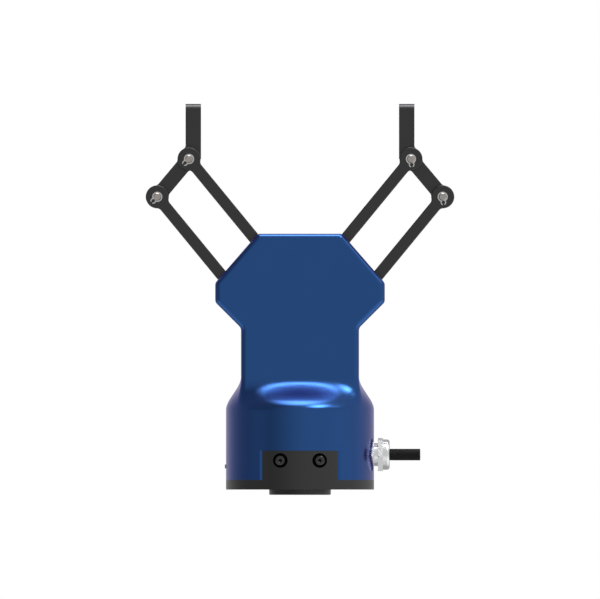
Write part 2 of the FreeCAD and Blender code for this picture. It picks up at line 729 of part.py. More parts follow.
def arm_blank(fork_depth):
    """An upright arm from its pivot at the origin, forked at its upper end."""
    face = Part.Face(bar_outline(ARM_LENGTH, ARM_WIDTH, ARM_FILLET))
    face.translate(Vec(0, -ARM_HALF, 0))
    arm = face.extrude(Vec(0, 2 * ARM_HALF, 0))
    rims = edges_in_plane(arm, -ARM_HALF) + edges_in_plane(arm, ARM_HALF)
    arm = arm.makeFillet(ARM_EDGE, rims)
    slot = block((-BEYOND, BEYOND), (-FORK_HALF, FORK_HALF),
                 (ARM_LENGTH - fork_depth, ARM_LENGTH + BEYOND))
    arm = arm.cut(slot)
    pin_hole = PIN_RADIUS + PIN_CLEARANCE
    arm = arm.cut(cylinder(pin_hole, -ARM_HALF - 1, ARM_HALF + 1, (0, ARM_LENGTH), Y_AXIS))
    middle = PIVOT_RADIUS + PIVOT_BORE_CLEARANCE
    arm = arm.cut(cylinder(middle, -ARM_HALF - 1, ARM_HALF + 1, (0, 0), Y_AXIS))
    bush = PIVOT_RADIUS + RUNNING_CLEARANCE + BUSH_WALL
    arm = arm.cut(cylinder(bush, -ARM_HALF - 1, BUSH_LENGTH - ARM_HALF, (0, 0), Y_AXIS))
    return arm.cut(cylinder(bush, ARM_HALF - BUSH_LENGTH, ARM_HALF + 1, (0, 0), Y_AXIS))


def leaned(shape, pivot):
    """A piece drawn upright from the origin, leaned outwards and put on a right-hand pivot."""
    copy = shape.copy()
    copy.rotate(Vec(0, 0, 0), Y_AXIS, ARM_ANGLE)
    copy.translate(front_view(pivot[0], pivot[1]))
    return copy


def inner_arm():
    """The driven arm, slotted at its root for the sector wheel."""
    arm = arm_blank(INNER_FORK_DEPTH)
    half = WHEEL_WIDTH / 2
    arm = arm.cut(block((-BEYOND, BEYOND), (-half, half), (-BEYOND, WHEEL_TAIL_LENGTH)))
    dowel = SECTOR_DOWEL_LENGTH / 2
    arm = arm.cut(cylinder(SECTOR_DOWEL_RADIUS, -dowel, dowel, (0, SECTOR_DOWEL_PLACE), Y_AXIS))
    return leaned(arm, (INNER_PIVOT_X, INNER_PIVOT_Z))


def outer_arm():
    """The following arm."""
    return leaned(arm_blank(OUTER_FORK_DEPTH), (OUTER_PIVOT_X, OUTER_PIVOT_Z))


def arm_bushes(pivot):
    """The two flanged bushes in an arm's root."""
    inner = PIVOT_RADIUS + RUNNING_CLEARANCE
    outer = inner + BUSH_WALL
    bushes = []
    for sign in (-1, 1):
        y_span = sorted((sign * (ARM_HALF - BUSH_LENGTH), sign * ARM_HALF))
        sleeve = cylinder(outer, y_span[0], y_span[1], pivot, Y_AXIS)
        y_flange = sorted((sign * ARM_HALF, sign * (ARM_HALF + BUSH_FLANGE)))
        rim = cylinder(outer + BUSH_FLANGE_WIDTH, y_flange[0], y_flange[1], pivot, Y_AXIS)
        hole = cylinder(inner, -CAVITY_HALF - 1, CAVITY_HALF + 1, pivot, Y_AXIS)
        bushes.append(sleeve.fuse(rim).cut(hole))
    return bushes


def pivot_pin(place):
    """A pivot pin, seated in the casing's face and in the rear cover."""
    reach = CAVITY_HALF + PIVOT_SEAT
    return cylinder(PIVOT_RADIUS, -reach, reach, place, Y_AXIS)


def finger():
    """A right-hand finger: bar, upper eye, slanting link and lower eye in one piece."""
    eye = EYE_RADIUS
    length = math.hypot(LINK_REACH, LINK_RISE)
    lean = math.degrees(math.atan2(LINK_REACH, -LINK_RISE))
    link = Part.Face(bar_outline(length, LINK_WIDTH, ARM_FILLET))
    link = link.extrude(Vec(0, FINGER_DEPTH, 0))
    link.rotate(Vec(0, 0, 0), Y_AXIS, lean)
    outer_face = FINGER_WIDTH - FINGER_FACE
    side = outer_face + FINGER_FILLET
    rise = math.sqrt((eye + FINGER_FILLET) ** 2 - side ** 2)
    share = eye / (eye + FINGER_FILLET)
    centre = front_view(side, rise)
    start = front_view(outer_face, rise)
    end = front_view(side * share, rise * share)
    way = ((start - centre) + (end - centre)).normalize()
    corners = [
        end,
        front_view(0, 0),
        front_view(-FINGER_FACE, 0),
        front_view(-FINGER_FACE, FINGER_HEIGHT),
        front_view(outer_face, FINGER_HEIGHT),
        start,
    ]
    edges = [Part.LineSegment(corners[k], corners[k + 1]).toShape() for k in range(5)]
    edges.append(Part.Arc(start, centre + way * FINGER_FILLET, end).toShape())
    bar = Part.Face(Part.Wire(Part.__sortEdges__(edges))).extrude(Vec(0, FINGER_DEPTH, 0))
    tip = []
    for edge in bar.Edges:
        box = edge.BoundBox
        if box.ZMin > FINGER_HEIGHT - 1e-4 and box.YLength < 1e-4:
            tip.append(edge)
    bar = bar.makeFillet(FINGER_TIP_FILLET, tip)
    whole = bar.fuse(link).removeSplitter()
    whole.translate(front_view(UPPER_PIN_X, UPPER_PIN_Z, -FINGER_DEPTH / 2))
    for place in finger_pin_places():
        whole = whole.cut(cylinder(PIN_RADIUS, -ARM_HALF, ARM_HALF, place, Y_AXIS))
    return whole


def finger_pin_places():
    """The (x, z) places of a right-hand finger's upper and lower pin."""
    upper = (UPPER_PIN_X, UPPER_PIN_Z)
    lower = (UPPER_PIN_X + LINK_REACH, UPPER_PIN_Z - LINK_RISE)
    return upper, lower


def ring_seat():
    """How far from the middle plane a retaining ring's inner face lies."""
    return ARM_HALF + RING_GAP


def finger_pin(place):
    """A grooved pin with chamfered ends."""
    reach = ring_seat() + RING_THICKNESS + PIN_END
    pin = cylinder(PIN_RADIUS, -reach, reach, place, Y_AXIS)
    ends = edges_in_plane(pin, -reach) + edges_in_plane(pin, reach)
    pin = pin.makeChamfer(PIN_CHAMFER, ends)
    for side in (-1, 1):
        y_span = sorted((side * ring_seat(), side * (ring_seat() + RING_THICKNESS)))
        sleeve = cylinder(PIN_RADIUS + 1, y_span[0], y_span[1], place, Y_AXIS)
        core = cylinder(PIN_RADIUS - RING_GROOVE_DEPTH, y_span[0], y_span[1], place, Y_AXIS)
        pin = pin.cut(sleeve.cut(core))
    return pin


def retaining_ring(place, bearing, side):
    """An open ring whose two hooked lugs face each other; bearing 0 points along +X, 90 up."""
    y_span = sorted((side * ring_seat(), side * (ring_seat() + RING_THICKNESS)))
    low = y_span[0]
    high = y_span[1]
    centre = (RING_LUG_DISTANCE, 0)
    inner = PIN_RADIUS - RING_GROOVE_DEPTH
    ring = cylinder(RING_OUTER_RADIUS, low, high, (0, 0), Y_AXIS)
    ring = ring.fuse(cylinder(RING_LUG_OUTER_RADIUS, low, high, centre, Y_AXIS))
    ring = ring.cut(cylinder(RING_LUG_INNER_RADIUS, low, high, centre, Y_AXIS))
    ring = ring.cut(cylinder(inner, low, high, (0, 0), Y_AXIS))
    ring = ring.cut(block((0, BEYOND), (low, high), (-RING_MOUTH / 2, RING_MOUTH / 2)))
    ring.rotate(Vec(0, 0, 0), Y_AXIS, -bearing)
    ring.translate(front_view(place[0], place[1]))
    return ring


def retaining_rings(bearing, mirror):
    """The four rings of one finger's two pins, front and rear."""
    rings = []
    for x, z in finger_pin_places():
        for side in (-1, 1):
            rings.append(retaining_ring((mirror * x, z), bearing, side))
    return rings


def involute_angle(radius):
    """The involute function of the pressure angle at a radius of the wheel."""
    base = WHEEL_PITCH_RADIUS * math.cos(math.radians(PRESSURE_ANGLE))
    angle = math.acos(min(1.0, base / radius))
    return math.tan(angle) - angle


def sector_outline(teeth, facing, turn, y):
    """The toothed outline of a sector wheel about its own centre, facing +1 or -1 along X.

    Teeth are bearings in degrees from the worm's direction, upwards; turn is added to them all.
    """
    base = WHEEL_PITCH_RADIUS * math.cos(math.radians(PRESSURE_ANGLE))
    tip = WHEEL_PITCH_RADIUS + ADDENDUM * MODULE
    root = WHEEL_PITCH_RADIUS - DEDENDUM * MODULE
    pitch_half = math.pi / (2 * WHEEL_TEETH)
    flank_radii = (base, (base + tip) / 2, tip)
    flank = [pitch_half + involute_angle(WHEEL_PITCH_RADIUS) - involute_angle(r) for r in flank_radii]

    def point(radius, bearing):
        angle = bearing + math.radians(turn)
        return front_view(facing * radius * math.cos(angle), radius * math.sin(angle), y)

    edges = []
    gap_half = math.pi / WHEEL_TEETH
    last = point(root, math.radians(teeth[0]) - gap_half)
    first = last
    for tooth in teeth:
        middle = math.radians(tooth)
        foot = point(root, middle - flank[0])
        between = point(root, middle - (gap_half + flank[0]) / 2)
        edges.append(Part.Arc(last, between, foot).toShape())
        rising = [point(r, middle - a) for r, a in zip(flank_radii, flank)]
        falling = [point(r, middle + a) for r, a in zip(flank_radii, flank)]
        edges.append(Part.LineSegment(foot, rising[0]).toShape())
        edges.append(Part.Arc(rising[0], rising[1], rising[2]).toShape())
        edges.append(Part.Arc(rising[2], point(tip, middle), falling[2]).toShape())
        edges.append(Part.Arc(falling[2], falling[1], falling[0]).toShape())
        heel = point(root, middle + flank[0])
        edges.append(Part.LineSegment(falling[0], heel).toShape())
        last = point(root, middle + gap_half)
        between = point(root, middle + (gap_half + flank[0]) / 2)
        edges.append(Part.Arc(heel, between, last).toShape())
    centre = front_view(0, 0, y)
    edges.append(Part.LineSegment(last, centre).toShape())
    edges.append(Part.LineSegment(centre, first).toShape())
    return Part.Wire(edges)


def sector_wheel(teeth, facing):
    """A worm-wheel sector with slanted teeth, a hub, and a tail that the arm's slot holds."""
    half = WHEEL_WIDTH / 2
    lead = math.atan(MODULE / (2 * WORM_PITCH_RADIUS))
    slant = math.degrees(half * math.tan(lead) / WHEEL_PITCH_RADIUS)
    ends = []
    for y, sign in ((-half, -1), (half, 1)):
        ends.append(sector_outline(teeth, facing, -facing * sign * slant, y))
    toothed = Part.makeLoft(ends, True, True)
    hub = cylinder(WHEEL_HUB_RADIUS, -half, half, (0, 0), Y_AXIS)
    tail = block((-WHEEL_TAIL_WIDTH / 2, WHEEL_TAIL_WIDTH / 2), (-half, half),
                 (0, WHEEL_TAIL_LENGTH))
    tail = tail.cut(cylinder(SECTOR_DOWEL_RADIUS, -half, half, (0, SECTOR_DOWEL_PLACE), Y_AXIS))
    tail.rotate(Vec(0, 0, 0), Y_AXIS, -facing * ARM_ANGLE)
    wheel = toothed.fuse([hub, tail])
    bore = PIVOT_RADIUS + WHEEL_BORE_CLEARANCE
    wheel = wheel.cut(cylinder(bore, -half - 1, half + 1, (0, 0), Y_AXIS))
    wheel.translate(front_view(-facing * INNER_PIVOT_X, INNER_PIVOT_Z))
    return wheel


def sector_dowel():
    """The dowel that locks the right-hand sector wheel in its arm."""
    half = SECTOR_DOWEL_LENGTH / 2
    dowel = cylinder(SECTOR_DOWEL_RADIUS, -half, half, (0, SECTOR_DOWEL_PLACE), Y_AXIS)
    return leaned(dowel, (INNER_PIVOT_X, INNER_PIVOT_Z))


def worm():
    """The single-start right-hand worm, with a hub below its thread."""
    pitch = math.pi * MODULE
    root = WORM_PITCH_RADIUS - DEDENDUM * MODULE
    tip = WORM_PITCH_RADIUS + ADDENDUM * MODULE
    low = INNER_PIVOT_Z - WORM_BELOW_PIVOT
    high = INNER_PIVOT_Z + WORM_ABOVE_PIVOT
    start = INNER_PIVOT_Z - 3.5 * pitch
    flank = math.tan(math.radians(PRESSURE_ANGLE))
    sunk = root - 0.3
    thickness = pitch / 4 - BACKLASH / 2
    root_half = thickness + (WORM_PITCH_RADIUS - sunk) * flank
    tip_half = thickness - (tip - WORM_PITCH_RADIUS) * flank
    profile = Part.makePolygon([
        Vec(sunk, 0, start - root_half),
        Vec(tip, 0, start - tip_half),
        Vec(tip, 0, start + tip_half),
        Vec(sunk, 0, start + root_half),
        Vec(sunk, 0, start - root_half),
    ])
    helix = Part.makeLongHelix(pitch, 7 * pitch, WORM_PITCH_RADIUS)
    helix.translate(Vec(0, 0, start))
    sweep = Part.BRepOffsetAPI.MakePipeShell(helix)
    sweep.setFrenetMode(True)
    sweep.add(profile)
    sweep.build()
    sweep.makeSolid()
    thread = sweep.shape()
    thread = thread.common(cylinder(tip + 1, low, high))
    top = BRIDGE_BOTTOM - BRIDGE_GAP
    core = cylinder(root, low, top)
    hub = cylinder(WORM_HUB_RADIUS, SHELF_TOP + LOWER_BUSH_FLANGE + WORM_END_GAP, low)
    body = core.fuse([hub, thread])
    body = body.cut(cylinder(WORM_SHAFT_RADIUS, SHELF_BOTTOM, HEAD_TOP))
    return body.cut(worm_pin())


def worm_pin_height():
    """The height of the cross pin through the worm's hub."""
    hub_low = SHELF_TOP + LOWER_BUSH_FLANGE + WORM_END_GAP
    return (hub_low + INNER_PIVOT_Z - WORM_BELOW_PIVOT) / 2


def worm_pin():
    """The cross pin that locks the worm to its shaft."""
    place = (0, worm_pin_height())
    return cylinder(WORM_PIN_RADIUS, -WORM_HUB_RADIUS, WORM_HUB_RADIUS, place, Y_AXIS)


def worm_shaft():
    """The gearbox's output shaft, which carries the worm up to the bridge."""
    low = SHELF_BOTTOM - GEARBOX_SHAFT_DEPTH
    high = HEAD_TOP - BRIDGE_SKIN - WORM_END_GAP
    return cylinder(WORM_SHAFT_RADIUS, low, high).cut(worm_pin())


def lower_worm_bush():
    """The flanged bush in the shelf."""
    inner = WORM_SHAFT_RADIUS + RUNNING_CLEARANCE
    sleeve = cylinder(inner + LOWER_BUSH_WALL, SHELF_BOTTOM, SHELF_TOP)
    rim = cylinder(LOWER_BUSH_FLANGE_RADIUS, SHELF_TOP, SHELF_TOP + LOWER_BUSH_FLANGE)
    return sleeve.fuse(rim).cut(cylinder(inner, SHELF_BOTTOM - 1, SHELF_TOP + 1))


def upper_worm_bush():
    """The bush in the bridge."""
    inner = WORM_SHAFT_RADIUS + RUNNING_CLEARANCE
    top = HEAD_TOP - BRIDGE_SKIN
    sleeve = cylinder(inner + WORM_BUSH_WALL, BRIDGE_BOTTOM, top)
    return sleeve.cut(cylinder(inner, BRIDGE_BOTTOM - 1, top + 1))


def gearbox():
    """The planetary gearbox's can, with its shaft hole and screw holes."""
    low = SHELF_BOTTOM - GEARBOX_LENGTH
    can = cylinder(MOTOR_RADIUS, low, SHELF_BOTTOM)
    hole = WORM_SHAFT_RADIUS + RUNNING_CLEARANCE
    can = can.cut(cylinder(hole, SHELF_BOTTOM - GEARBOX_SHAFT_DEPTH, SHELF_BOTTOM + 1))
    depth = GEARBOX_SCREW_LENGTH - SHELF_THICKNESS
    for x, y in gearbox_screw_places():
        can = can.cut(cylinder(GEARBOX_SCREW_RADIUS, SHELF_BOTTOM - depth, SHELF_BOTTOM + 1, (x, y)))
    return can


def gearbox_screws():
    """The screws that hold the gearbox under the shelf."""
    screw = cap_screw(GEARBOX_SCREW_RADIUS, GEARBOX_SCREW_LENGTH, GEARBOX_SCREW_HEAD_RADIUS,
                      GEARBOX_SCREW_HEAD_HEIGHT, COVER_SCREW_SOCKET)
    return [turned(screw, Vec(x, y, SHELF_TOP), Z_AXIS) for x, y in gearbox_screw_places()]


def motor():
    """The motor's can, below the gearbox."""
    high = SHELF_BOTTOM - GEARBOX_LENGTH
    can = cylinder(MOTOR_RADIUS, high - MOTOR_LENGTH, high)
    rims = [edge for edge in can.Edges if edge.BoundBox.ZMax < high - MOTOR_LENGTH + 1e-4]
    return can.makeChamfer(0.8, rims)


def motor_encoder():
    """The encoder's cap under the motor."""
    high = SHELF_BOTTOM - GEARBOX_LENGTH - MOTOR_LENGTH
    return cylinder(ENCODER_RADIUS, high - ENCODER_LENGTH, high)


def control_board():
    """The round board with its soldered parts."""
    top = BOARD_HEIGHT + BOARD_THICKNESS
    board = cylinder(BASE_BORE_RADIUS - BOARD_MARGIN, BOARD_HEIGHT, top)
    parts = [
        (-DRIVER_PLACE, DRIVER_WIDTH, DRIVER_WIDTH, DRIVER_HEIGHT),
        (0, CHIP_WIDTH, CHIP_WIDTH, CHIP_HEIGHT),
        (SOCKET_PLACE, SOCKET_WIDTH, SOCKET_LENGTH, SOCKET_HEIGHT),
    ]
    for x, width, length, height in parts:
        x_span = (x - width / 2, x + width / 2)
        board = board.fuse(block(x_span, (-length / 2, length / 2), (top, top + height)))
    for x, y in board_screw_places():
        hole = BOARD_SCREW_RADIUS + SCREW_CLEARANCE
        board = board.cut(cylinder(hole, BOARD_HEIGHT - 1, top + 1, (x, y)))
    return board


def control_board_screws():
    """The screws that hold the board on the casing's flats."""
    screw = cap_screw(BOARD_SCREW_RADIUS, BOARD_SCREW_LENGTH, BOARD_SCREW_HEAD_RADIUS,
                      BOARD_SCREW_HEAD_HEIGHT, COVER_SCREW_SOCKET)
    top = BOARD_HEIGHT + BOARD_THICKNESS
    return [turned(screw, Vec(x, y, top), Z_AXIS) for x, y in board_screw_places()]


def status_light_pipe():
    """The light pipe: through the base's wall, then up to the board."""
    outer = -FLANGE_RADIUS - LIGHT_PROUD
    bar = cylinder(LIGHT_RADIUS, outer, -LIGHT_INNER_END, (0, LIGHT_HEIGHT), X_AXIS)
    post = cylinder(LIGHT_RADIUS, LIGHT_HEIGHT, BOARD_HEIGHT, (-LIGHT_INNER_END, 0))
    return bar.fuse([post, Part.makeSphere(LIGHT_RADIUS, Vec(-LIGHT_INNER_END, 0, LIGHT_HEIGHT))])


def gland_places():
    """The gland's stations along X, outwards from the collar's seat."""
    collar = GLAND_SEAT + GLAND_COLLAR
    neck = collar + GLAND_NECK
    nut = neck + GLAND_NUT_HEX
    return collar, neck, nut, nut + GLAND_DOME_LENGTH


def cable_gland_body():
    """The gland's threaded body with its six-sided collar."""
    middle = (0, GLAND_HEIGHT)
    collar, neck, nut, _ = gland_places()
    thread = cylinder(GLAND_THREAD_RADIUS, GLAND_PAD - GLAND_LOCKNUT - 1, GLAND_SEAT, middle, X_AXIS)
    ring = hexagon_prism(GLAND_COLLAR_FLATS, GLAND_SEAT, collar, middle, X_AXIS, GLAND_TURN)
    barrel = cylinder(GLAND_NECK_RADIUS, collar, nut, middle, X_AXIS)
    groove = cylinder(GLAND_THREAD_RADIUS + O_RING_THICKNESS / 2, GLAND_SEAT,
                      GLAND_SEAT + O_RING_THICKNESS / 2, middle, X_AXIS)
    body = ring.cut(groove).fuse([thread, barrel])
    core = cylinder(GLAND_NECK_RADIUS, GLAND_SEAT - 1, collar, middle, X_AXIS)
    body = body.fuse(core)
    inner = CABLE_RADIUS
    body = body.cut(cylinder(inner, GLAND_PAD - BEYOND, neck, middle, X_AXIS))
    return body.cut(cylinder(GLAND_BORE_RADIUS, neck, nut + 1, middle, X_AXIS))


def cable_gland_o_ring():
    """The square-section seal between the gland's collar and the casing."""
    middle = (0, GLAND_HEIGHT)
    high = GLAND_SEAT + O_RING_THICKNESS / 2
    ring = cylinder(GLAND_THREAD_RADIUS + O_RING_THICKNESS / 2, GLAND_SEAT, high, middle, X_AXIS)
    return ring.cut(cylinder(GLAND_NECK_RADIUS, GLAND_SEAT, high, middle, X_AXIS))


def cable_gland_nut():
    """The domed nut: a hexagon and a rounded cap with the cable's hole."""
    middle = (0, GLAND_HEIGHT)
    _, neck, nut, end = gland_places()
    hexagon = hexagon_prism(GLAND_NUT_FLATS, neck, nut, middle, X_AXIS, GLAND_TURN)
    corner = GLAND_NUT_FLATS / math.sqrt(3)
    round_blank = cylinder(corner, neck, nut, middle, X_AXIS)
    rims = [edge for edge in round_blank.Edges if edge.BoundBox.XLength < 1e-4]
    hexagon = hexagon.common(round_blank.makeChamfer(GLAND_NUT_CHAMFER, rims))
    rise = GLAND_DOME_RADIUS - GLAND_DOME_END_RADIUS
    half_way = math.sqrt(0.5)
    points = [Vec(nut, 0, 0), Vec(nut, 0, GLAND_DOME_RADIUS)]
    shoulder = Vec(end - GLAND_DOME_EDGE, 0, GLAND_DOME_RADIUS)
    lip = Vec(end, 0, GLAND_DOME_END_RADIUS)
    knee = Vec(end - GLAND_DOME_EDGE * (1 - half_way), 0, GLAND_DOME_END_RADIUS + rise * half_way)
    edges = [
        Part.LineSegment(points[0], points[1]).toShape(),
        Part.LineSegment(points[1], shoulder).toShape(),
        Part.Arc(shoulder, knee, lip).toShape(),
        Part.LineSegment(lip, Vec(end, 0, 0)).toShape(),
        Part.LineSegment(Vec(end, 0, 0), points[0]).toShape(),
    ]
    dome = Part.Face(Part.Wire(edges)).revolve(Vec(0, 0, 0), X_AXIS, 360)
    dome.translate(Vec(0, 0, GLAND_HEIGHT))
    shape = hexagon.fuse(dome)
    shape = shape.cut(cylinder(GLAND_NECK_RADIUS, neck - 1, nut, middle, X_AXIS))
    shape = shape.cut(cylinder(GLAND_BORE_RADIUS, nut, end - 1, middle, X_AXIS))
    return shape.cut(cylinder(CABLE_RADIUS + 0.4, nut, end + 1, middle, X_AXIS))


def cable_gland_seal():
    """The rubber insert that the domed nut squeezes on the cable."""
    middle = (0, GLAND_HEIGHT)
    _, neck, _, end = gland_places()
    plug = cylinder(GLAND_BORE_RADIUS, neck, end - 1, middle, X_AXIS)
    lip = cylinder(CABLE_RADIUS + 0.4, neck, end - 0.3, middle, X_AXIS)
    return plug.fuse(lip).cut(cylinder(CABLE_RADIUS, neck - 1, end + 1, middle, X_AXIS))


def cable_gland_locknut():
    """The hexagonal nut on the gland's thread, inside the base."""
    middle = (0, GLAND_HEIGHT)
    nut = hexagon_prism(GLAND_LOCKNUT_FLATS, GLAND_PAD - GLAND_LOCKNUT, GLAND_PAD, middle, X_AXIS)
    return nut.cut(cylinder(GLAND_THREAD_RADIUS, GLAND_PAD - BEYOND, GLAND_PAD + 1, middle, X_AXIS))


def cable():
    """The cable's stub, cut square."""
    end = gland_places()[3] + CABLE_FREE_LENGTH
    return cylinder(CABLE_RADIUS, CABLE_INNER_END, end, (0, GLAND_HEIGHT), X_AXIS)


def build_parts():
    """Every sub-part by its name."""
    inner = (INNER_PIVOT_X, INNER_PIVOT_Z)
    outer = (OUTER_PIVOT_X, OUTER_PIVOT_Z)
    upper_pin, lower_pin = (finger_pin(place) for place in finger_pin_places())
    parts = {
        "housing": housing(),
        "rear_cover": rear_cover(),
        "rear_cover_screws": rear_cover_screws(),
        "mounting_flange": mounting_flange(),
        "flange_screws": flange_screws(),
        "control_board": control_board(),
        "control_board_screws": control_board_screws(),
        "status_light_pipe": status_light_pipe(),
        "cable_gland_body": cable_gland_body(),
        "cable_gland_o_ring": cable_gland_o_ring(),
        "cable_gland_nut": cable_gland_nut(),
        "cable_gland_seal": cable_gland_seal(),
        "cable_gland_locknut": cable_gland_locknut(),
        "cable": cable(),
        "motor": motor(),
        "motor_encoder": motor_encoder(),
        "gearbox": gearbox(),
        "gearbox_screws": gearbox_screws(),
        "lower_worm_bush": lower_worm_bush(),
        "upper_worm_bush": upper_worm_bush(),
        "worm_shaft": worm_shaft(),
        "worm": worm(),
        "worm_pin": worm_pin(),
        "left_sector_wheel": sector_wheel(LEFT_TEETH, 1),
        "right_sector_wheel": sector_wheel(RIGHT_TEETH, -1),
        "left_retaining_rings": retaining_rings(225, -1),
        "right_retaining_rings": retaining_rings(277, 1),
    }
    for name, place in pivot_places().items():
        parts[name + "_pivot_pin"] = pivot_pin(place)
    right_hand = {
        "inner_arm": inner_arm(),
        "inner_arm_bushes": arm_bushes(inner),
        "outer_arm": outer_arm(),
        "outer_arm_bushes": arm_bushes(outer),
        "finger": finger(),
        "upper_pin": upper_pin,
        "lower_pin": lower_pin,
        "sector_dowel": sector_dowel(),
    }
    for name, shape in right_hand.items():
        parts["right_" + name] = shape
        if isinstance(shape, list):
            parts["left_" + name] = [mirrored(piece) for piece in shape]
        else:
            parts["left_" + name] = mirrored(shape)
    return parts


def export(parts):
    """Write each sub-part to its own file, in the parts folder."""
    os.makedirs("parts", exist_ok=True)
    for name, shape in parts.items():
        if isinstance(shape, list):
            shape = Part.makeCompound(shape)
        shape.exportStep("parts/" + name + ".step")
        print(name, "solids", len(shape.Solids), "valid", shape.isValid(), "volume", round(shape.Volume, 1))


export(build_parts())
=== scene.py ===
# %% [markdown]
# # A two-finger gripper, dressed for its portrait
# The gripper is a blue anodised casing on a black flange, with two black fingers carried by
# parallelogram arms. Its solids come from the engineering model, exact and in their places, so
# the picture can't drift from the part. Blender's work is the rest: finishes, the small forms
# below the drawing's scale, and light.

# %% Load the model
import json
import math

import bmesh
import bpy
import numpy as np
from mathutils import Matrix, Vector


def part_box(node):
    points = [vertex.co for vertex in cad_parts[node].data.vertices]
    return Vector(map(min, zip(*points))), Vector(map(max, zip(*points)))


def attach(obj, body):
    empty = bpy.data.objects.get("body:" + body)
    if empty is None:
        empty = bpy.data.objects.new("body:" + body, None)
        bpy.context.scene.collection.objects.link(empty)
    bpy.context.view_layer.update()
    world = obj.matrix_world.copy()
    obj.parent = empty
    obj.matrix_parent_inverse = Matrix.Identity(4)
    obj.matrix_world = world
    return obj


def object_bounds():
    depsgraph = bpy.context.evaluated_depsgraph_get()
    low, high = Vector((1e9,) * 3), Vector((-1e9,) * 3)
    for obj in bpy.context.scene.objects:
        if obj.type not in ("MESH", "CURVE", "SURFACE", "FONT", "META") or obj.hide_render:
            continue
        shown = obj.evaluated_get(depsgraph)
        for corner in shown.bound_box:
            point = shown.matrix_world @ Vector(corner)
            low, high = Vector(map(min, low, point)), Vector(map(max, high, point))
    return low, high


MM = 0.001
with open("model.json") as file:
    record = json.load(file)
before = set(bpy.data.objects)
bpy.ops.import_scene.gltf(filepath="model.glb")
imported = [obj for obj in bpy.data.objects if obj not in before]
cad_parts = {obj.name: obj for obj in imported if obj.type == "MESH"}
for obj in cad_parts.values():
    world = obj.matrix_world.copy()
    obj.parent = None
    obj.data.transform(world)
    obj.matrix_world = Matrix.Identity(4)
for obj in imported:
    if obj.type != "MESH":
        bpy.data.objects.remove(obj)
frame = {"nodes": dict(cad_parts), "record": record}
nodes = frame["nodes"]
cad_low, cad_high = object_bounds()
print("engineering model:", [round((b - a) / MM, 1) for a, b in zip(cad_low, cad_high)], "mm")

# %% [markdown]
# ## The camera
# The photograph is square on: parallel edges stay parallel and no top or bottom shows. A long
# lens from far away comes close to that, but an orthographic camera gives it exactly, so it is
# the one used. One pixel of the picture covers 0.51 mm, so the camera's scale is the picture's
# width times that.

# %% Square-on camera
PIXEL = 0.51 * MM
PICTURE_WIDTH = 600
CAMERA_HEIGHT = 96.95 * MM
CAMERA_DISTANCE = 1.5
CAMERA_REACH = 20.0

camera_data = bpy.data.cameras.new("square_on_camera")
camera_data.type = "ORTHO"
camera_data.ortho_scale = PICTURE_WIDTH * PIXEL
camera_data.clip_end = CAMERA_REACH
camera = bpy.data.objects.new("square_on_camera", camera_data)
camera.location = (0.0, -CAMERA_DISTANCE, CAMERA_HEIGHT)
camera.rotation_euler = (math.radians(90), 0.0, 0.0)
bpy.context.scene.collection.objects.link(camera)
bpy.context.scene.camera = camera
bpy.context.scene.view_settings.view_transform = "Standard"
print("camera sees", round(PICTURE_WIDTH * PIXEL / MM), "mm across")

# %% [markdown]
# ## Two helpers for every finish
# Colours are written as they look on a screen, as hex values, but a renderer adds up light in
# linear values, so one function turns the first into the second. The other helper adds a node,
# sets its sockets and wires it, which keeps each finish down to a few lines.

# %% Colour and node helpers
def linear(hex_colour, alpha=1.0):
    """An sRGB hex colour as linear RGBA: c/12.92 below 0.04045, else ((c+0.055)/1.055)^2.4."""
    channels = np.array([int(hex_colour[i:i + 2], 16) for i in (1, 3, 5)]) / 255
    low = channels / 12.92
    high = ((channels + 0.055) / 1.055) ** 2.4
    return (*np.where(channels <= 0.04045, low, high).tolist(), alpha)


def add_node(tree, kind, settings=None, **sockets):
    """One node in a tree. Settings are its properties; a socket takes a value or another socket.

    A socket goes by its name, with _ for a space, or by its number, as in0 or in1."""
    node = tree.nodes.new(kind)
    for name, value in (settings or {}).items():
        setattr(node, name, value)
    for name, value in sockets.items():
        numbered = name.startswith("in") and name[2:].isdigit()
        socket = node.inputs[int(name[2:]) if numbered else name.replace("_", " ")]
        if isinstance(value, bpy.types.NodeSocket):
            tree.links.new(value, socket)
        else:
            socket.default_value = value
    return node


def new_finish(name):
    """An empty material with its output node: (material, tree, shader, object coordinates)."""
    material = bpy.data.materials.new(name)
    material.use_nodes = True
    tree = material.node_tree
    tree.nodes.clear()
    shader = tree.nodes.new("ShaderNodeBsdfPrincipled")
    output = tree.nodes.new("ShaderNodeOutputMaterial")
    tree.links.new(shader.outputs["BSDF"], output.inputs["Surface"])
    place = tree.nodes.new("ShaderNodeTexCoord").outputs["Object"]
    return material, tree, shader, place


print("middle grey on a screen is", round(linear("#808080")[0], 3), "in linear light")

# %% [markdown]
# ## Anodised aluminium
# Anodising grows a hard clear oxide on the metal and dyes it. On the casing the metal still
# mirrors through the blue dye, so that finish is a metal with a coloured reflection, not a
# paint. Where it is seen at a glancing angle the dye looks faintly violet, which a sheen adds.
# The black dye of the arms and flange swallows the metal, and only the oxide's own few percent
# of gloss is left, so that finish is no metal to the eye. Before the bath both are blasted with
# fine glass beads, which leaves a satin skin: broad highlights, and a grain of about a tenth of
# a millimetre that is drawn at 0.35 mm so that it shows close up. An image of the grain could
# be wrapped round the casing, but noise on object coordinates has no seams and no fixed size.

# %% Blasted and dyed aluminium
DYE_DRIFT_MM = 22
GRAIN_MM = 0.35
GRAIN_DEPTH_MM = 0.003
GRAIN_STRENGTH = 0.35
GLOSS_SWING = 0.03


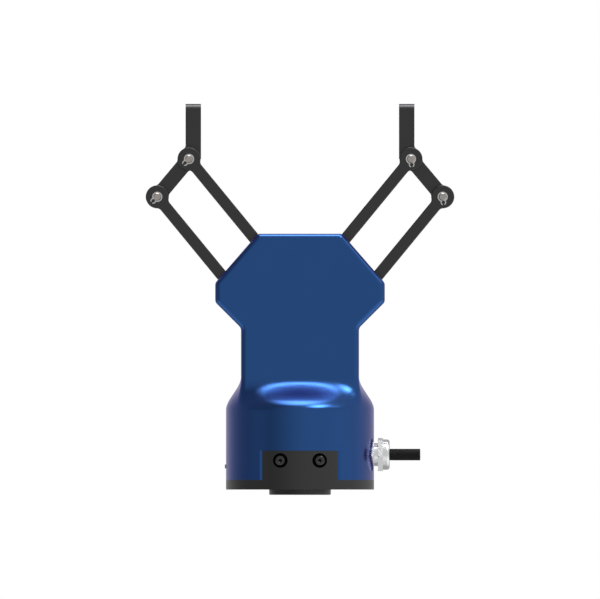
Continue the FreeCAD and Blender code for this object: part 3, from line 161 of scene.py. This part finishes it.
def anodised(name, dye, dye_thick, roughness, **sockets):
    """Dyed oxide over blasted metal: colour and gloss drift slowly, and a fine grain lies on top."""
    material, tree, shader, place = new_finish(name)
    drift = add_node(tree, "ShaderNodeTexNoise", Vector=place, Scale=1 / (DYE_DRIFT_MM * MM), Detail=3.0)
    colour = add_node(tree, "ShaderNodeMix", {"data_type": "RGBA"})
    tree.links.new(drift.outputs["Fac"], colour.inputs["Factor"])
    colour.inputs["A"].default_value = linear(dye)
    colour.inputs["B"].default_value = linear(dye_thick)
    tree.links.new(colour.outputs["Result"], shader.inputs["Base Color"])
    for socket, value in sockets.items():
        shader.inputs[socket.replace("_", " ")].default_value = value
    grain = add_node(tree, "ShaderNodeTexNoise", Vector=place, Scale=1 / (GRAIN_MM * MM), Detail=2.0)
    gloss = add_node(tree, "ShaderNodeMapRange", Value=grain.outputs["Fac"],
                     To_Min=roughness - GLOSS_SWING, To_Max=roughness + GLOSS_SWING)
    tree.links.new(gloss.outputs["Result"], shader.inputs["Roughness"])
    bump = add_node(tree, "ShaderNodeBump", Height=grain.outputs["Fac"], Strength=GRAIN_STRENGTH,
                    Distance=GRAIN_DEPTH_MM * MM)
    tree.links.new(bump.outputs["Normal"], shader.inputs["Normal"])
    return material


blue_anodised = anodised("blue_anodised_aluminium_blasted", "#234474", "#254676", 0.18, Metallic=1.0,
                         Sheen_Weight=0.42, Sheen_Roughness=0.45, Sheen_Tint=linear("#8658ff"))
black_anodised = anodised("black_anodised_aluminium_blasted", "#060606", "#090909", 0.30, IOR=1.47)
print("blue and black oxide, both with a grain of", GRAIN_MM, "mm")

# %% [markdown]
# ## Bright metals
# Bare metals differ in tint, in how sharply they mirror and in the marks that their making left.
# Steel is turned or ground, which leaves fine lines, and nickel is plated on smooth brass. One
# function covers them all, because only those three things change: noise that is stretched
# along one axis makes the lines, and moves both the gloss and the height.

# %% Turned, ground and plated metal
STREAK_STRETCH = 0.15
STREAK_STRENGTH = 0.3


def bright_metal(name, hex_colour, roughness, streak_mm, streak_depth_mm):
    """Bare metal with faint streaks: noise stretched along Y, as a lathe or a grinder leaves."""
    material, tree, shader, place = new_finish(name)
    shader.inputs["Base Color"].default_value = linear(hex_colour)
    shader.inputs["Metallic"].default_value = 1.0
    stretch = add_node(tree, "ShaderNodeMapping", Vector=place)
    stretch.inputs["Scale"].default_value = (1.0, STREAK_STRETCH, 1.0)
    streak = add_node(tree, "ShaderNodeTexNoise", Vector=stretch.outputs["Vector"],
                      Scale=1 / (streak_mm * MM), Detail=2.0)
    gloss = add_node(tree, "ShaderNodeMapRange", Value=streak.outputs["Fac"],
                     To_Min=roughness - GLOSS_SWING, To_Max=roughness + GLOSS_SWING)
    tree.links.new(gloss.outputs["Result"], shader.inputs["Roughness"])
    bump = add_node(tree, "ShaderNodeBump", Height=streak.outputs["Fac"], Strength=STREAK_STRENGTH,
                    Distance=streak_depth_mm * MM)
    tree.links.new(bump.outputs["Normal"], shader.inputs["Normal"])
    return material


# The finger pins' turned ends and the small screws are a warm grey with a soft gleam.
stainless = bright_metal("stainless_steel_turned", "#908b86", 0.28, 0.3, 0.0006)
# The retaining rings are stamped from strip, lighter and sharper than the pins.
spring_steel = bright_metal("stainless_spring_steel_stamped", "#a4a4a4", 0.24, 0.3, 0.001)
# The flange's blackened screws stay dark, with one small sharp highlight.
black_steel = bright_metal("black_oxide_steel_headed", "#363636", 0.12, 0.3, 0.001)
# The worm, its shaft, the dowels and the casing's pins are ground: light grey, nearly a mirror.
ground_steel = bright_metal("hardened_steel_ground", "#b9b8b6", 0.22, 0.2, 0.002)
# The gland's plated nickel is close to white, with clear reflections.
nickel = bright_metal("nickel_plated_brass", "#c1c2c2", 0.24, 0.4, 0.0004)
# The sector wheels and bushes are machined bronze, golden and satin.
bronze = bright_metal("bearing_bronze_machined", "#b98a4e", 0.32, 0.25, 0.004)
# The drawn cans of the motor and the gearbox are a cool grey.
zinc = bright_metal("zinc_plated_steel_drawn", "#b4b6ba", 0.30, 0.4, 0.003)
# Copper strands are reddish and bright where they are cut.
copper = bright_metal("copper_strand_drawn", "#c9805a", 0.3, 0.05, 0.001)
print("eight bright metals, with streaks of 0.05 to 0.4 mm")

# %% [markdown]
# ## Plastics and rubber
# These are not metals: their colour is in the body, and only a few percent of light glances off
# the surface. Moulded and extruded skins have a faint matt grain, so one noise moves both the
# height and the gloss a little. Without it they would look like paint on glass.

# %% Moulded and extruded plastic
SKIN_STRENGTH = 0.4
SKIN_GLOSS_SWING = 0.06


def moulded(name, hex_colour, roughness, grain_mm, grain_depth_mm, **sockets):
    """A dyed plastic or rubber whose skin is slightly uneven, in height and in gloss."""
    material, tree, shader, place = new_finish(name)
    shader.inputs["Base Color"].default_value = linear(hex_colour)
    for socket, value in sockets.items():
        shader.inputs[socket.replace("_", " ")].default_value = value
    grain = add_node(tree, "ShaderNodeTexNoise", Vector=place, Scale=1 / (grain_mm * MM), Detail=3.0)
    gloss = add_node(tree, "ShaderNodeMapRange", Value=grain.outputs["Fac"],
                     To_Min=roughness - SKIN_GLOSS_SWING, To_Max=roughness + SKIN_GLOSS_SWING)
    tree.links.new(gloss.outputs["Result"], shader.inputs["Roughness"])
    bump = add_node(tree, "ShaderNodeBump", Height=grain.outputs["Fac"], Strength=SKIN_STRENGTH,
                    Distance=grain_depth_mm * MM)
    tree.links.new(bump.outputs["Normal"], shader.inputs["Normal"])
    return material


# The cable's soft sheath is nearly black, with one dull line of light along it.
cable_sheath = moulded("cable_sheath_pvc_extruded", "#161616", 0.6, 0.5, 0.01, IOR=1.2)
# The gland's rubber is black and matt.
rubber = moulded("nitrile_rubber_moulded", "#161616", 0.6, 0.4, 0.01)
# Painted shade: near-black matt rings deep round the screws stand for the shadow in the counterbores.
counterbore_shade_black = moulded("nitrile_rubber_matt_seal", "#010101", 0.9, 0.3, 0.01, IOR=1.05)
# The encoder's cap is a dark grey with a soft gloss.
black_plastic = moulded("black_polyamide_moulded", "#1c1c1c", 0.5, 0.4, 0.01)
# Cotton string is off-white, fibrous and without any gloss.
filler_string = moulded("cotton_filler_string", "#cdc6b6", 0.9, 0.12, 0.03)
# The board's green lacquer is smooth and glossy.
board_green = moulded("solder_mask_on_glass_laminate", "#1f5a34", 0.35, 0.6, 0.005)
# The status light is a green window that lets some light through and glows faintly.
light_green = moulded("green_acrylic_light_pipe", "#5a8a2c", 0.15, 2.0, 0.002, Transmission_Weight=0.3,
                      Emission_Color=linear("#5a9a2c"), Emission_Strength=0.15)
print("seven plastics, with grains of 0.12 to 2 mm")

# %% [markdown]
# ## Every solid gets its finish
# The record groups the solids into material slots, so one table from slot to finish reaches all
# of them, and no solid can be forgotten. The retaining rings are stamped from a brighter strip
# than the pins that they hold, so they have a finish of their own.

# %% Assign finishes
finish_of_slot = {
    "blue_anodised_aluminium": blue_anodised,
    "black_anodised_aluminium": black_anodised,
    "stainless_steel": stainless,
    "black_oxide_steel": black_steel,
    "hardened_steel": ground_steel,
    "nickel_plated_brass": nickel,
    "bearing_bronze": bronze,
    "motor_can": zinc,
    "circuit_board": board_green,
    "black_plastic": black_plastic,
    "black_rubber": rubber,
    "cable_sheath": cable_sheath,
    "green_light_pipe": light_green,
}
finish_of_node = {"left_retaining_rings": spring_steel, "right_retaining_rings": spring_steel}
for part in frame["record"]["subparts"]:
    mesh = nodes[part["node"]].data
    finish = finish_of_node.get(part["node"], finish_of_slot[part["material_slot"]])
    if not mesh.materials:
        mesh.materials.append(finish)
    for index in range(len(mesh.materials)):
        mesh.materials[index] = finish
print(len(nodes), "solids have their finish")

# %% [markdown]
# ## Surfaces from formulas
# The drawing stops at parts that are bought or milled. What is smaller is made here: near-black rings of
# painted shade in the screws' counterbores, and the wires in the cable. They could be modelled by hand
# from rings and cones, but a formula keeps their sizes in sight. Each is a surface worked out from two
# parameters: a closed outline in one, carried round an axis in the other. Whole arrays of points are
# computed at once, and one helper turns them into a smooth mesh that rides on its body.

# %% A grid of points becomes a piece
SAME_POINT_MM = 0.0001


def surface(name, sheets, finish, body, ring_closed=True):
    """A smooth mesh through grids of points, in millimetres, in an array (sheets, rings, points, 3).

    Each ring closes on itself, and closed rings join the last to the first. Where a ring shrinks
    to a point, as at a pole, its points become one. Faces are turned outwards."""
    sheets = np.asarray(sheets, dtype=np.float32) * MM
    count, rings, around = sheets.shape[:3]
    ring = np.arange(rings if ring_closed else rings - 1)[:, None]
    point = np.arange(around)[None, :]
    next_ring, next_point = (ring + 1) % rings, (point + 1) % around
    corners = (ring * around + point, next_ring * around + point,
               next_ring * around + next_point, ring * around + next_point)
    quads = np.stack(np.broadcast_arrays(*corners), axis=-1).reshape(-1, 4)
    quads = (quads[None] + (np.arange(count) * rings * around)[:, None, None]).reshape(-1, 4)
    mesh = bpy.data.meshes.new(name)
    mesh.from_pydata(sheets.reshape(-1, 3).tolist(), [], quads.tolist())
    shell = bmesh.new()
    shell.from_mesh(mesh)
    bmesh.ops.remove_doubles(shell, verts=shell.verts, dist=SAME_POINT_MM * MM)
    bmesh.ops.recalc_face_normals(shell, faces=shell.faces)
    shell.to_mesh(mesh)
    shell.free()
    mesh.polygons.foreach_set("use_smooth", np.ones(len(mesh.polygons), dtype=bool))
    mesh.materials.append(finish)
    piece = bpy.data.objects.new(name, mesh)
    bpy.context.scene.collection.objects.link(piece)
    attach(piece, body)
    print(name, len(mesh.polygons), "faces")
    return piece


def middle_and_size(node):
    """The middle and the size of a solid's box, in millimetres."""
    low, high = (np.array(corner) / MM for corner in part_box(node))
    return (low + high) / 2, high - low


print("the cable's solid measures", np.round(middle_and_size("cable")[1], 1), "mm")

# %% [markdown]
# ## Painted shade round the flange screws
# A near-black matt ring fills the gap between each screw's head and its counterbore. It is painted shade
# that stands for the shadow deep in the counterbore. A torus would give a round section, but this
# ring's section is a rounded rectangle: a superellipse, where cosine and sine are raised to a
# power below one.

# %% Counterbore painted shade rings
SHADE_RING_INNER, SHADE_RING_OUTER, SHADE_RING_THICKNESS = 2.94, 3.71, 0.8
SHADE_RING_ROUNDNESS = 0.6
SCREW_HEAD_RADIUS = 2.9
SCREW_SEAT = 33.75
AROUND_SCREW, AROUND_SECTION = 72, 20


def squared(wave):
    """A wave raised to a power below one with its sign kept, which squares off a circle."""
    return np.sign(wave) * np.abs(wave) ** SHADE_RING_ROUNDNESS


middle, size = middle_and_size("flange_screws")
screw_x, screw_z = size[0] / 2 - SCREW_HEAD_RADIUS, middle[2]
turn, tube = np.meshgrid(np.linspace(0, 2 * np.pi, AROUND_SCREW, endpoint=False),
                         np.linspace(0, 2 * np.pi, AROUND_SECTION, endpoint=False), indexing="ij")
radius = (SHADE_RING_INNER + SHADE_RING_OUTER) / 2 + squared(np.cos(tube)) * (SHADE_RING_OUTER - SHADE_RING_INNER) / 2
out = (1 + squared(np.sin(tube))) * SHADE_RING_THICKNESS / 2
# Painted shade: one near-black ring in each counterbore, front and back, standing for its shadow.
seals = [np.stack([x + radius * np.cos(turn), side * (SCREW_SEAT + out), screw_z + radius * np.sin(turn)],
                  axis=-1) for x in (-screw_x, screw_x) for side in (-1, 1)]
surface("flange_screw_seals", seals, counterbore_shade_black, "housing")

# %% [markdown]
# ## The cable's cut end
# A sensor cable has eight thin wires round a filler string, in a soft sheath. At the cut the
# insulation of each wire stands a little proud of the filler, and its seven copper strands stand
# a little proud of the insulation. A picture on the cut face would be flat, so each is a plug
# sunk in the sheath, under a low round cap whose height falls with the square of the distance
# from its middle.

# %% Plugs for the cable's end
FILLER_RADIUS, WIRE_CIRCLE, WIRE_RADIUS, STRAND_RADIUS = 2.25, 1.5, 0.52, 0.095
STRAND_SPACING = 2.1 * STRAND_RADIUS
PLUG_DEPTH = 0.3
CAP_RINGS = 8
middle, size = middle_and_size("cable")
end_x = middle[0] + size[0] / 2


def plugs(centres, plug_radius, rim, height, around):
    """Round plugs along X with a low cap: x = rim + height (1 - r^2) from the middle to the rim.

    Then the wall goes straight down to the plug's depth, and a flat base closes it."""
    r = np.append(np.linspace(0, 1, CAP_RINGS), [1, 0])
    x = np.append(rim + height * (1 - r[:CAP_RINGS] ** 2), [-PLUG_DEPTH, -PLUG_DEPTH])
    angle = np.linspace(0, 2 * np.pi, around, endpoint=False)
    y, z = (plug_radius * r[:, None] * wave(angle) for wave in (np.cos, np.sin))
    return [np.stack([end_x + x[:, None] + 0 * y, middle[1] + cy + y, middle[2] + cz + z], axis=-1)
            for cy, cz in centres]


eighth = (np.arange(8) + 0.5) * np.pi / 4
wires = WIRE_CIRCLE * np.stack([np.cos(eighth), np.sin(eighth)], axis=-1)
sixth = np.arange(6) * np.pi / 3
bundle = np.vstack([[0, 0], STRAND_SPACING * np.stack([np.cos(sixth), np.sin(sixth)], axis=-1)])
strands = (wires[:, None] + bundle[None]).reshape(-1, 2)
print(len(wires), "wires and", len(strands), "strands end at x =", round(float(end_x), 1), "mm")

# %% [markdown]
# ## Coloured insulation
# Sensor wires are told apart by eight usual colours. Eight materials would do it, but the wires
# stand evenly round the cable, so one material can take its colour from the angle: the arctangent
# of height over depth, as a share of a full turn, picks one of eight steps of a colour ramp.

# %% Insulation in eight colours
WIRE_DYES = ("#d8d8d4", "#5a3420", "#2f7a3c", "#d8b92c", "#7d7f82", "#d98a9a", "#2c4f9e", "#b02a24")

insulation, tree, shader, place = new_finish("wire_insulation_pvc_coloured")
shift = add_node(tree, "ShaderNodeVectorMath", {"operation": "SUBTRACT"}, in0=place,
                 in1=(0.0, middle[1] * MM, middle[2] * MM))
apart = add_node(tree, "ShaderNodeSeparateXYZ", in0=shift.outputs["Vector"])
angle = add_node(tree, "ShaderNodeMath", {"operation": "ARCTAN2"}, in0=apart.outputs["Z"],
                 in1=apart.outputs["Y"])
share = add_node(tree, "ShaderNodeMapRange", Value=angle.outputs["Value"], From_Min=-math.pi,
                 From_Max=math.pi)
dyes = add_node(tree, "ShaderNodeValToRGB", Fac=share.outputs["Result"])
dyes.color_ramp.interpolation = "CONSTANT"
for index, dye in enumerate(WIRE_DYES):
    stops = dyes.color_ramp.elements
    stop = stops[index] if index < 2 else stops.new(index / 8)
    stop.position = index / 8
    stop.color = linear(dye)
tree.links.new(dyes.outputs["Color"], shader.inputs["Base Color"])
shader.inputs["Roughness"].default_value = 0.45
print(len(WIRE_DYES), "colours round the cable")

# %% [markdown]
# ## Filler, insulation and strands
# The three layers are the same kind of plug at three sizes. The smaller they are, the further
# they stand out, and the fewer points each ring needs to look round.

# %% Wires in the cable
for name, centres, radius, rim, height, around, finish in (
        ("cable_filler", [(0, 0)], FILLER_RADIUS, 0.01, 0.03, 48, filler_string),
        ("cable_wire_insulation", wires, WIRE_RADIUS, 0.03, 0.05, 24, insulation),
        ("cable_wire_strands", strands, STRAND_RADIUS, 0.07, 0.03, 12, copper)):
    surface(name, plugs(centres, radius, rim, height, around), finish, "housing", ring_closed=False)

# %% [markdown]
# ## The studio
# Metal shows what stands around it, and this metal shows white walls that are greyer on the left
# and behind, one broad softbox overhead, a smaller lamp high on the right with a weak strip
# beside it, and a bright table below. Real lamps and cards could stand there, but soft patches
# in the world's shader give smooth edges and no noise. A direction is told by two angles: how
# far it lies aside of the middle plane, and how far over from the front.

# %% Where the lights stand
WALLS = (  # bearing from the front, level
    (-180, 0.58), (-140, 0.62), (-108, 0.52), (-85, 0.41), (-48, 0.42), (-24, 0.76), (0, 1.03),
    (15, 1.09), (75, 1.05), (108, 1.02), (140, 0.62), (180, 0.58))
PATCHES = (  # name, angle aside, angle over, half-widths across and along, level in R, G, B
    ("overhead_softbox", 0, 90, 28, 29, (10.4, 10.0, 10.9)),
    ("high_right_lamp", 22, 61, 18, 25, (15.5, 15.5, 15.5)),
    ("right_strip_light", 43, 60, 17, 17, (1.6, 1.6, 1.6)),
    ("table_on_the_left", -46, -64, 52, 52, (1.3, 1.3, 1.3)),
    ("table_on_the_right", 44, -64, 52, 52, (1.0, 1.0, 1.0)),
    ("table_ahead", 0, -30, 60, 26, (0.45, 0.45, 0.45)),
)
MATT_LEVEL = 0.42


def toward(aside, over):
    """The unit vector that lies an angle aside of the middle plane and an angle over the front."""
    a, o = math.radians(aside), math.radians(over)
    return (math.sin(a), -math.cos(a) * math.cos(o), math.cos(a) * math.sin(o))


def turn_to(aside, over):
    """The rotation that brings Z to that direction and keeps X level: about Y, then about X."""
    over_zenith = Matrix.Rotation(math.radians(90 - over), 3, "X")
    return (over_zenith @ Matrix.Rotation(math.radians(aside), 3, "Y")).to_euler("XYZ")


for name, aside, over, *_ in PATCHES:
    print(name, "towards", np.round(toward(aside, over), 2))

# %% [markdown]
# ## Walls round the gripper
# The walls' level depends only on the bearing, the angle round the upright axis. An arctangent
# of the direction gives it, as a share of a full turn, and a colour ramp holds the levels.

# %% Walls by bearing
world = bpy.data.worlds.new("white_studio")
bpy.context.scene.world = world
world.use_nodes = True
sky = world.node_tree
sky.nodes.clear()
look = sky.nodes.new("ShaderNodeTexCoord").outputs["Generated"]
way = add_node(sky, "ShaderNodeSeparateXYZ", in0=look)
ahead = add_node(sky, "ShaderNodeMath", {"operation": "MULTIPLY"}, in0=way.outputs["Y"], in1=-1.0)
bearing = add_node(sky, "ShaderNodeMath", {"operation": "ARCTAN2"}, in0=way.outputs["X"],
                   in1=ahead.outputs["Value"])
turned = add_node(sky, "ShaderNodeMapRange", Value=bearing.outputs["Value"], From_Min=-math.pi,
                  From_Max=math.pi)
walls = add_node(sky, "ShaderNodeValToRGB", Fac=turned.outputs["Result"])
for index, (degrees, level) in enumerate(WALLS):
    position = (degrees + 180) / 360
    stops = walls.color_ramp.elements
    stop = stops[index] if index < 2 else stops.new(position)
    stop.position = position
    stop.color = (level, level, level, 1.0)
print(len(WALLS), "wall levels")

# %% [markdown]
# ## Lights as soft patches
# Each light is a patch of sky. A mapping node moves and scales the direction so that the patch
# becomes a ball of radius one, the distance from its middle is eased from one down to nothing,
# and the light's level times that is added to the walls.

# %% Softbox, lamps and table
total = walls.outputs["Color"]
for name, aside, over, across, along, level in PATCHES:
    widths = [math.radians(width) for width in (across, along, max(across, along))]
    offset = add_node(sky, "ShaderNodeMapping", {"vector_type": "TEXTURE", "label": name}, Vector=look,
                      Location=toward(aside, over), Rotation=turn_to(aside, over), Scale=widths)
    far = add_node(sky, "ShaderNodeVectorMath", {"operation": "LENGTH"}, in0=offset.outputs["Vector"])
    patch = add_node(sky, "ShaderNodeMapRange", {"interpolation_type": "SMOOTHERSTEP"},
                     Value=far.outputs["Value"], To_Min=1.0, To_Max=0.0)
    light = add_node(sky, "ShaderNodeVectorMath", {"operation": "SCALE"}, in0=level,
                     Scale=patch.outputs["Result"])
    lighter = add_node(sky, "ShaderNodeVectorMath", {"operation": "ADD"}, in0=total,
                       in1=light.outputs["Vector"])
    total = lighter.outputs["Vector"]
print(len(PATCHES), "patches of light")

# %% [markdown]
# ## What each kind of ray sees
# Glossy and transmitted rays see the studio, so metal and glass show it. Matt surfaces get an
# even plain light, at which a colour renders about as it is written. The camera sees plain
# white, as in the photograph.

# %% White for the camera
rays = sky.nodes.new("ShaderNodeLightPath")
mirrored = add_node(sky, "ShaderNodeMath", {"operation": "MAXIMUM"}, in0=rays.outputs["Is Glossy Ray"],
                    in1=rays.outputs["Is Transmission Ray"])
lit = add_node(sky, "ShaderNodeMix", {"data_type": "RGBA"}, Factor=mirrored.outputs["Value"])
lit.inputs["A"].default_value = (MATT_LEVEL, MATT_LEVEL, MATT_LEVEL, 1.0)
sky.links.new(total, lit.inputs["B"])
seen = add_node(sky, "ShaderNodeMix", {"data_type": "RGBA"}, Factor=rays.outputs["Is Camera Ray"])
sky.links.new(lit.outputs["Result"], seen.inputs["A"])
seen.inputs["B"].default_value = (1.0, 1.0, 1.0, 1.0)
backdrop = add_node(sky, "ShaderNodeBackground", Color=seen.outputs["Result"], Strength=1.0)
add_node(sky, "ShaderNodeOutputWorld", Surface=backdrop.outputs["Background"])
print("matt surfaces get a level of", MATT_LEVEL)

# %% [markdown]
# ## A lamp for the matt surfaces
# A real softbox also lights what isn't metal, and gives the floor its shadow. A wide area lamp
# does that here, with a soft shadow. Glossy rays don't see it, because the metals already see
# the softbox's picture in the sky.

# %% Overhead lamp
LAMP_SIZE = 0.5
LAMP_POWER = 6.0
LAMP_PLACE = (0.05, -0.08, 0.95)

lamp_data = bpy.data.lights.new("overhead_lamp", "AREA")
lamp_data.size = LAMP_SIZE
lamp_data.energy = LAMP_POWER
lamp = bpy.data.objects.new("overhead_lamp", lamp_data)
lamp.location = LAMP_PLACE
lamp.visible_glossy = False
bpy.context.scene.collection.objects.link(lamp)
print("a lamp of", LAMP_POWER, "W hangs", LAMP_PLACE[2], "m above the flange")

# %% [markdown]
# ## The floor
# The gripper stands on its spigot on a white sheet. The square-on camera sees the sheet edge on,
# so it only shows in other views, with the shadow on it. Glossy rays pass through it to the
# surroundings below, which hold the bright table that the photograph's metal shows.

# %% White sheet
FLOOR = cad_low[2]
SHEET_HALF = 2.0

sheet, sheet_tree, sheet_shader, _ = new_finish("white_paper_sweep")
sheet_shader.inputs["Base Color"].default_value = linear("#e6e6e6")
sheet_shader.inputs["Roughness"].default_value = 0.9
sheet_rays = sheet_tree.nodes.new("ShaderNodeLightPath")
clear = sheet_tree.nodes.new("ShaderNodeBsdfTransparent")
sheet_mix = add_node(sheet_tree, "ShaderNodeMixShader", Fac=sheet_rays.outputs["Is Glossy Ray"],
                     in1=sheet_shader.outputs["BSDF"], in2=clear.outputs["BSDF"])
sheet_tree.links.new(sheet_mix.outputs["Shader"], sheet_tree.nodes["Material Output"].inputs["Surface"])

floor_mesh = bpy.data.meshes.new("white_sheet")
floor_mesh.from_pydata([(-SHEET_HALF, -SHEET_HALF, FLOOR), (SHEET_HALF, -SHEET_HALF, FLOOR),
                        (SHEET_HALF, SHEET_HALF, FLOOR), (-SHEET_HALF, SHEET_HALF, FLOOR)],
                       [], [(0, 1, 2, 3)])
floor_mesh.materials.append(sheet)
floor = bpy.data.objects.new("white_sheet", floor_mesh)
bpy.context.scene.collection.objects.link(floor)
print("the sheet lies at", round(FLOOR / MM, 2), "mm")
